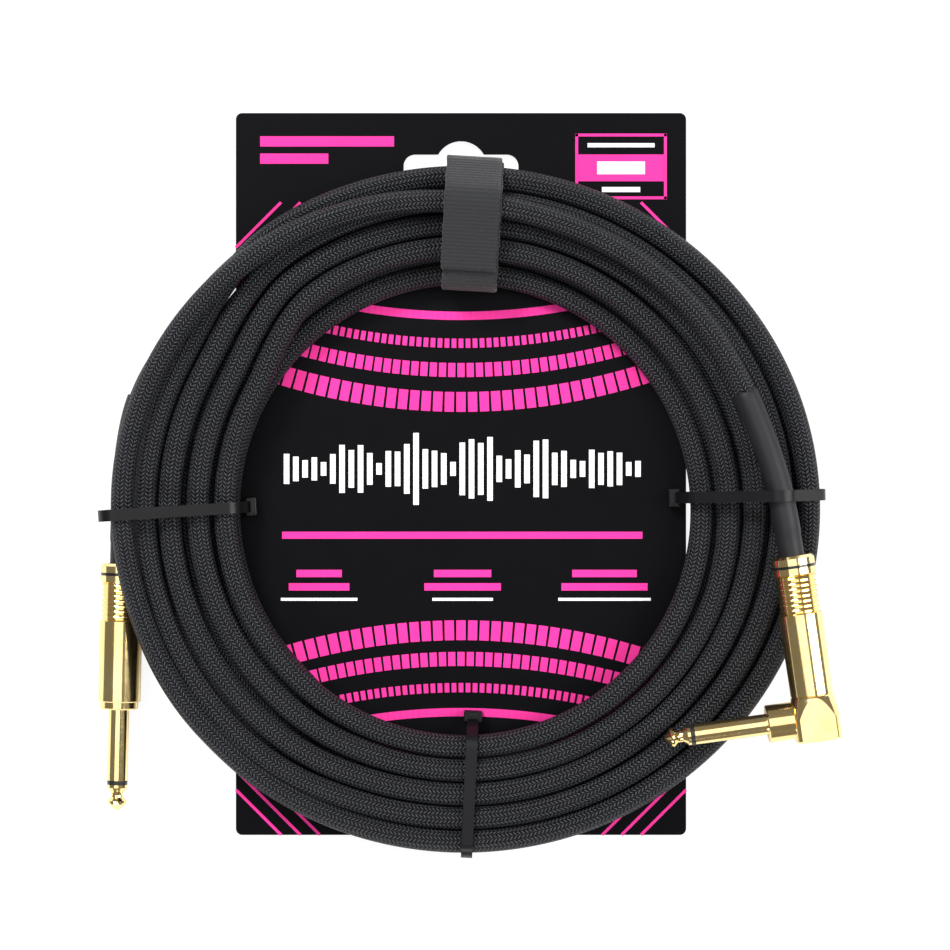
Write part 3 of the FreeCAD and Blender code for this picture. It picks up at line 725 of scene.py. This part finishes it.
@dataclass
class Cable:
    """The woven cord and the rubber sleeves at its two ends."""

    run: CableRun = field(default_factory=CableRun)
    sides: int = 22
    ring_step: float = 2.4 * MM
    sleeve_wall: float = 0.6 * MM
    sleeve_inside: float = 7.0 * MM
    sleeve_len: float = 64.0 * MM
    neck_end: float = 25.6 * MM
    neck_step: float = 0.2 * MM
    sleeve_grip: float = 0.1 * MM
    sleeve_rings: int = 46
    sleeve_sides: int = 40
    lip: float = 0.35 * MM
    lip_soft: float = 0.1 * MM
    spline_steps: int = 8
    cord_twist: float = 1.1
    plug_nodes: tuple = (
        "straight_tip",
        "straight_tip_ring",
        "straight_sleeve",
        "straight_barrel",
        "straight_barrel_band",
        "angle_tip",
        "angle_tip_ring",
        "angle_sleeve",
        "angle_head",
        "angle_barrel",
        "angle_barrel_band",
    )

    def make(self) -> None:
        """Builds the cord and its sleeves."""
        route = self.run.route()
        self.line = Line(line_through(route, self.spline_steps))
        LOG.info("cable line %.4f m for %.3f m", self.line.length, self.run.length)
        self.make_cord()
        for end in End:
            self.make_sleeve(end)

    def make_cord(self) -> None:
        """Sweeps the woven cord.
        """
        count = round(self.line.length / self.ring_step)
        radius = self.run.diameter / 2
        profile = [(self.line.length * i / count, radius) for i in range(count + 1)]
        bm = swept_tube(self.line, profile, self.sides, self.cord_twist)
        cord = piece_from(bm, "woven_cable", PACK, "braided_jacket")
        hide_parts("cable_coil", "straight_end_cable", "angle_end_cable")

    def make_sleeve(self, end: End) -> None:
        """Sweeps a rubber sleeve with rounded lips over one end of the cable.

        Args:
            end: the end that it is on. The cable's line starts at the straight one.
        """
        node = f"{end.value}_strain_relief"
        inner = self.run.diameter / 2 - self.sleeve_grip
        outer = self.run.diameter / 2 + self.sleeve_wall
        lip, soft, rings = self.lip, self.lip_soft, self.sleeve_rings
        low, high = self.sleeve_inside, self.sleeve_inside + self.sleeve_len
        neck = outer - self.neck_step
        outline = [(low, inner), (low, neck - lip), (low + soft, neck - soft), (low + lip, neck)]
        for i in range(1, rings + 1):
            reach = low + lip + (high - low - 2 * lip) * i / rings
            outline.append((reach, neck + self.neck_step * smooth((reach - self.neck_end) / MM)))
        outline += [(high - soft, outer - soft), (high, outer - lip), (high, inner)]
        outline += [(high - (high - low) * i / rings, inner) for i in range(1, rings)]
        if end is End.ANGLE:
            outline = [(self.line.length - d, r) for d, r in outline]
        bm = swept_tube(self.line, outline, self.sleeve_sides, closed=True)
        sleeve = piece_from(bm, f"{node}_sleeve", PACK, "rubber_sleeve")
        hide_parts(node)


# ------------------------------------------------------------------------------------------
# The strap
# ------------------------------------------------------------------------------------------


def belt_points(circles: list[tuple[float, float, float]], grow: float) -> list[Vector]:
    """The tight loop round some circles, as points (along, up).

    Args:
        circles: middle and radius of each, anticlockwise.
        grow: how far outside them the loop runs.

    Returns:
        Points about two millimetres apart, starting on the first straight run.
    """
    count = len(circles)
    runs = []
    for i in range(count):
        (u1, z1, r1), (u2, z2, r2) = circles[i], circles[(i + 1) % count]
        reach = math.hypot(u2 - u1, z2 - z1)
        runs.append(math.atan2(z2 - z1, u2 - u1) - math.pi / 2 + math.asin((r1 - r2) / reach))
    points = []
    for i, normal in enumerate(runs):
        facing = Vector((math.cos(normal), math.sin(normal)))
        (u1, z1, r1), (u2, z2, r2) = circles[i], circles[(i + 1) % count]
        start = Vector((u1, z1)) + facing * (r1 + grow)
        end = Vector((u2, z2)) + facing * (r2 + grow)
        steps = max(2, round((end - start).length / 2.0))
        points += [start.lerp(end, k / steps) for k in range(steps)]
        following = runs[(i + 1) % count]
        while following < normal:
            following += 2 * math.pi
        turns = max(3, round((following - normal) / 0.22))
        for k in range(turns):
            angle = normal + (following - normal) * k / turns
            points.append(Vector((u2, z2)) + Vector((math.cos(angle), math.sin(angle))) * (r2 + grow))
    return points


@dataclass
class Strap:
    """The hook and loop strap: a tape round the bundle, and a ribbed tab pressed down over it."""

    foot: tuple = (1.6, 67.5)
    tilt_deg: float = 86.7
    width: float = 17.0
    gap: float = 0.05
    thick: float = 1.2
    tab_gap: float = 0.25
    tab_thick: float = 1.1
    tab_end: float = 6.2
    tab_hinge_z: float = 9.0
    tab_aside: float = 0.6
    coil_inner: float = 70.0
    coil_low: float = 3.4
    coil_high: float = 17.6
    coil_outer: float = 106.6
    corner: float = 3.5
    over_lead: tuple = (94.6, 21.6, 3.85)
    bow_room: float = 1.5
    edge_share: float = 0.28
    steps_across: int = 10
    wave: float = 0.12
    wave_rate: float = 0.7
    wave_up: float = 0.2

    def circles(self) -> list[tuple[float, float, float]]:
        """What the tape goes round, as middles and radii in its own plane."""
        inset = math.hypot(*self.foot)
        bow = self.bow_room * (self.coil_inner - math.sqrt(self.coil_inner**2 - (self.width / 2) ** 2))
        near = self.coil_inner + self.corner - inset - bow
        far = self.coil_outer - self.corner - inset
        low = self.coil_low + self.corner
        high = self.coil_high - self.corner
        lead = (self.over_lead[0] - inset, self.over_lead[1], self.over_lead[2])
        c = self.corner
        return [(near, low, c), (far, low, c), (far, high, c), lead, (near, high, c)]

    def place(self, u: float, v: float, z: float) -> Vector:
        """A point in the frame from the tape's own plane: out, across and up."""
        a = math.radians(self.tilt_deg)
        out = Vector((math.cos(a), math.sin(a), 0.0))
        across = Vector((-math.sin(a), math.cos(a), 0.0))
        flat = Vector((*self.foot, 0.0)) + out * u + across * v
        return placed_mm(flat.x, flat.y, z)

    def tape(self, name: str, path: list[Vector], thick: float, aside: float, closed: bool) -> bmesh.types.BMesh:
        """A flat tape with soft edges along a path, by extruding a line of vertices.

        Args:
            name: which tape it is, for its own small waves.
            path: points (along, up) of its inner face.
            thick: its thickness.
            aside: how far it lies to one side.
            closed: whether the path is a loop.

        Returns:
            The mesh, with a map in metres: U along and V across.
        """
        bm = bmesh.new()
        layer = bm.loops.layers.uv.new("along")
        half = self.width / 2
        edge = thick * self.edge_share
        flat = half - edge
        places_across = [flat * (2 * k / self.steps_across - 1) for k in range(self.steps_across + 1)]
        section = [(-half, edge)] + [(v, 0.0) for v in places_across]
        section += [(half, edge), (half, thick - edge)] + [(v, thick) for v in reversed(places_across)]
        section += [(-half, thick - edge)]
        count = len(path)
        reach = [0.0]
        for a, b in zip(path, path[1:] + path[:1]):
            reach.append(reach[-1] + (b - a).length)
        ring = bmesh.ops.create_circle(bm, cap_ends=False, segments=len(section), radius=1.0)["verts"]

        def seat(verts: list, i: int) -> None:
            before = path[i - 1] if closed or i else path[0]
            after = path[(i + 1) % count] if closed or i + 1 < count else path[-1]
            along = (after - before).normalized()
            normal = Vector((along.y, -along.x))
            wave = self.wave * math.sin(reach[i] * self.wave_rate + len(name))
            for vert, (v, t) in zip(verts, section):
                spot = path[i] + normal * (t + (wave * self.wave_up if t > thick / 2 else 0.0))
                vert.co = self.place(spot.x, v + aside + wave, spot.y)

        seat(ring, 0)
        start = ring
        for i in range(1, count):
            follow, faces = extruded(bm, ring)
            seat(follow, i)
            places = {v: (section[k][0], reach[i - 1]) for k, v in enumerate(ring)}
            places.update({v: (section[k][0], reach[i]) for k, v in enumerate(follow)})
            for face in faces:
                for loop in face.loops:
                    across, along = places[loop.vert]
                    loop[layer].uv = (along * MM, across * MM)
            ring = follow
        finish_ends(bm, start, ring, closed)
        return bm

    def make(self) -> None:
        """Builds the loop tape and the tab."""
        circles = self.circles()
        band = belt_points(circles, self.gap)
        bm = self.tape("band", band, self.thick, 0.0, True)
        loop = piece_from(bm, "strap_tape", PACK, "loop_tape")
        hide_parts("strap_loop_band")
        start = self.gap + self.thick + self.tab_gap
        path = [p for p in belt_points(circles, start) if p.x > self.tab_end and p.y > self.tab_hinge_z]
        path = [Vector((path[0].x, self.tab_hinge_z))] + path
        last, before = path[-1], path[-2]
        path.append(last + (last - before) * ((last.x - self.tab_end) / (before.x - last.x)))
        bm = self.tape("tab", path, self.tab_thick, self.tab_aside, False)
        tab = piece_from(bm, "strap_tab_tape", "strap_tab", "hook_and_loop_tape")
        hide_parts("strap_hook_tab")


# ------------------------------------------------------------------------------------------
# Printing on the card
# ------------------------------------------------------------------------------------------


@dataclass
class CardPrint:
    """Plain printing on the card: arcs, gauge ticks, level bars, rules, corner lines and a frame."""

    arc_r: float = 192.0
    half_w: float = 68.0
    solid: tuple = (2.0, 2.08, 2.6)
    fine: tuple = (2.2, 1.45, 2.9)
    middling: tuple = (2.9, 2.25, 4.4)
    coarse: tuple = (3.65, 2.9, 6.2)
    upper_rows: tuple = (49.6, 41.0, 32.6, 22.6)
    lower_rows: tuple = (74.7, 67.0, 58.0, 49.0)
    white_ink: float = 0.05
    rule: tuple = (0.4, -19.2, 113.0, 2.2)
    columns: tuple = ((-44.5, 19.0, 24.0), (0.5, 24.0, 19.0), (45.0, 27.0, 29.0))
    titles: tuple = ((-42.0, 104.3, 42.0, 3.2), (-52.3, 98.9, 21.4, 3.2))
    panel: tuple = (
        (50.2, 106.3, 28.6, 0.9),
        (50.2, 86.6, 28.6, 0.9),
        (36.3, 96.4, 0.9, 20.6),
        (64.1, 96.4, 0.9, 20.6),
        (50.2, 96.0, 27.0, 8.4),
    )
    panel_rows: tuple = ((50.2, 103.1, 21.0, 1.3), (50.2, 89.2, 12.0, 1.6), (50.2, 96.0, 15.0, 4.0))
    corner_reaches: tuple = (14.175, 20.25, 26.325)
    corner_w: float = 0.9
    slot_room: float = 28.0
    level_count: int = 19
    level_pitch: float = 2.9
    level_w: float = 1.75

    def __post_init__(self) -> None:
        """Finds the card's middle and its front face."""
        low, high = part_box("backing_card")
        self.x = (low[0] + high[0]) / 2 / MM
        self.y = (low[1] + high[1]) / 2 / MM
        self.front = high[2] / MM
        self.half_card = (high[0] - low[0]) / 2 / MM
        self.half_high = (high[1] - low[1]) / 2 / MM

    def bar(
        self, bm: bmesh.types.BMesh, x: float, y: float, w: float, h: float, turn: float = 0.0, ink: float = 0.03
    ) -> None:
        """Adds one printed bar.

        Args:
            bm: the mesh that it goes into.
            x: its middle, right of the card's middle.
            y: its middle, above the card's middle.
            w: its width.
            h: its height.
            turn: how far it is turned, in radians.
            ink: how thick the printing is.
        """
        middle = Vector((self.x + x, self.y + y, self.front + ink / 2)) * MM
        size = Matrix.Diagonal((w * MM, h * MM, ink * MM, 1.0))
        matrix = Matrix.Translation(middle) @ Matrix.Rotation(turn, 4, "Z") @ size
        bmesh.ops.create_cube(bm, size=1.0, matrix=matrix)

    def row(self, bm: bmesh.types.BMesh, up: float, pitch: float, w: float, h: float, side: int) -> None:
        """Adds one curved row of ticks, or a solid line where the ticks touch.

        Args:
            bm: the mesh.
            up: how far the row's middle is from the card's middle.
            pitch: from one tick to the next.
            w: a tick's width.
            h: a tick's height.
            side: 1 above the middle, or -1 below it.
        """
        count = round(self.half_w / pitch)
        for k in range(-count, count + 1):
            angle = k * pitch / self.arc_r
            x = self.arc_r * math.sin(angle)
            y = side * (up + self.arc_r * (1 - math.cos(angle)))
            self.bar(bm, x, y, w, h, side * angle)

    def pink(self) -> bmesh.types.BMesh:
        """The pink printing."""
        bm = bmesh.new()
        for side, rows in ((1, self.upper_rows), (-1, self.lower_rows)):
            for up, (pitch, w, h) in zip(rows, (self.solid, self.fine, self.middling, self.coarse)):
                self.row(bm, up, pitch, w, h, side)
        for x, wide, _ in self.columns:
            self.bar(bm, x, -31.2, wide * 0.75, 2.3)
            self.bar(bm, x, -35.4, wide, 2.3)
        for block in (self.rule, *self.titles, *self.panel):
            self.bar(bm, *block)
        for sx in (-1, 1):
            for sy in (-1, 1):
                for reach in self.corner_reaches:
                    x = sx * (self.half_card - reach / 2)
                    y = sy * (self.half_high - self.slot_room * (sy > 0) - reach / 2)
                    self.bar(bm, x, y, math.hypot(reach, reach), self.corner_w, -sx * sy * math.pi / 4)
        return bm

    def white(self) -> bmesh.types.BMesh:
        """The white printing: level bars across the middle, and fine rules."""
        bm = bmesh.new()
        count = self.level_count
        for k in range(-count, count + 1):
            wave = 0.5 + 0.3 * math.sin(k * 0.9) + 0.2 * math.sin(k * 2.3 + 0.8)
            tall = 3.0 + 21.0 * wave * math.cos(k / count * 1.25)
            self.bar(bm, 0.4 + k * self.level_pitch, 1.6, self.level_w, tall, ink=self.white_ink)
        for x, _, wide in self.columns:
            self.bar(bm, x, -39.3, wide, 0.9, ink=self.white_ink)
        for row in self.panel_rows:
            self.bar(bm, *row, ink=self.white_ink)
        return bm

    def make(self) -> None:
        """Builds both printings."""
        piece_from(self.pink(), "card_print_pink", PACK, "pink_ink", False)
        piece_from(self.white(), "card_print_white", PACK, "white_ink", False)


# ------------------------------------------------------------------------------------------
# The plugs, ties and card keep their CAD shapes and get their finishes
# ------------------------------------------------------------------------------------------


def dress_nodes() -> None:
    """Gives every CAD node the finish of its material slot."""
    slots = {s["node"]: s["material_slot"] for s in frame["record"]["subparts"]}
    for name, node in frame["nodes"].items():
        node.data.materials.clear()
        node.data.materials.append(finish_of(slots[name]))
        LOG.info("node %s gets %s", name, slots[name])


# ------------------------------------------------------------------------------------------
# Studio
# ------------------------------------------------------------------------------------------


@dataclass
class Studio:
    """Floor, lights and the camera straight above."""

    over_x: float = 3.44
    over_y: float = 10.59
    plane_z: float = 0.012
    distance: float = 0.85
    view_w: float = 0.2945
    floor_size: float = 6.0
    floor_white: float = 0.86
    floor_glow: float = 1.12
    glow_share: float = 0.8
    world_light: float = 0.2

    def make_camera(self) -> None:
        """Puts the camera over the coil, looking straight down."""
        data = bpy.data.cameras.new("camera")
        data.sensor_width = 36.0
        data.lens = data.sensor_width * self.distance / self.view_w
        data.clip_start = 0.05
        data.clip_end = 50.0
        camera = bpy.data.objects.new("camera", data)
        camera.location = placed_mm(self.over_x, self.over_y, (self.plane_z + self.distance) / MM)
        bpy.context.scene.collection.objects.link(camera)
        bpy.context.scene.camera = camera

    def make_floor(self) -> None:
        """A white floor that keeps a light shadow."""
        bm = bmesh.new()
        bmesh.ops.create_grid(bm, x_segments=1, y_segments=1, size=self.floor_size / 2)
        mesh = bpy.data.meshes.new("floor")
        bm.to_mesh(mesh)
        bm.free()
        floor = bpy.data.objects.new("floor", mesh)
        bpy.context.scene.collection.objects.link(floor)
        n = Nodes("floor_white")
        n.set(Roughness=0.9)
        n.shader.inputs["Base Color"].default_value = (*[self.floor_white] * 3, 1.0)
        n.shader.inputs["Specular IOR Level"].default_value = 0.0
        path = n.add("ShaderNodeLightPath")
        glow = n.add("ShaderNodeEmission")
        glow.inputs["Strength"].default_value = self.floor_glow
        mix = n.add("ShaderNodeMixShader")
        share = n.math("MULTIPLY", path.outputs["Is Camera Ray"], self.glow_share)
        n.link(share, mix.inputs[0])
        n.link(n.shader.outputs[0], mix.inputs[1])
        n.link(glow.outputs[0], mix.inputs[2])
        n.link(mix.outputs[0], n.tree.nodes["Material Output"].inputs["Surface"])
        mesh.materials.append(n.material)

    def make_light(self, name: str, place: tuple, size: tuple, power: float, aim: tuple = (0, 0, 0)) -> None:
        """Adds one soft area lamp.

        Args:
            name: the lamp's name.
            place: where it stands.
            size: its width and height.
            power: watts.
            aim: what it looks at.
        """
        data = bpy.data.lights.new(name, "AREA")
        data.shape = "RECTANGLE"
        data.size, data.size_y = size
        data.energy = power
        lamp = bpy.data.objects.new(name, data)
        lamp.location = place
        direction = Vector(aim) - Vector(place)
        lamp.rotation_euler = direction.to_track_quat("-Z", "Y").to_euler()
        bpy.context.scene.collection.objects.link(lamp)

    def make_world(self) -> None:
        """A plain pale world."""
        world = bpy.data.worlds.new("studio")
        world.use_nodes = True
        tree = world.node_tree
        background = tree.nodes["Background"]
        background.inputs["Color"].default_value = (1.0, 1.0, 1.0, 1.0)
        path = tree.nodes.new("ShaderNodeLightPath")
        scale = tree.nodes.new("ShaderNodeMapRange")
        scale.inputs["To Min"].default_value = self.world_light
        scale.inputs["To Max"].default_value = 1.0
        tree.links.new(path.outputs["Is Camera Ray"], scale.inputs["Value"])
        tree.links.new(scale.outputs[0], background.inputs["Strength"])
        bpy.context.scene.world = world

    def make(self) -> None:
        """Builds the floor, lights and world."""
        self.make_floor()
        self.make_world()
        self.make_light("key", (-0.5, 0.75, 0.9), (0.35, 0.35), 14.0)
        self.make_light("fill", (0.8, 0.1, 0.7), (0.35, 0.8), 8.0)
        self.make_light("top", (-0.25, 0.3, 1.5), (1.3, 1.3), 8.0, (-0.25, 0.3, 0.0))
        self.make_light("low", (-0.2, -0.9, 0.6), (0.8, 0.3), 5.0)
        bpy.context.scene.view_settings.view_transform = "Standard"


def main() -> None:
    """Builds the object and the studio, and logs the cable's length and each CAD node's finish."""
    logging.basicConfig(level=logging.INFO, format="%(message)s")
    studio = Studio()
    studio.make_camera()
    Cable().make()
    Strap().make()
    CardPrint().make()
    dress_nodes()
    studio.make()


if __name__ == "__main__":
    main()
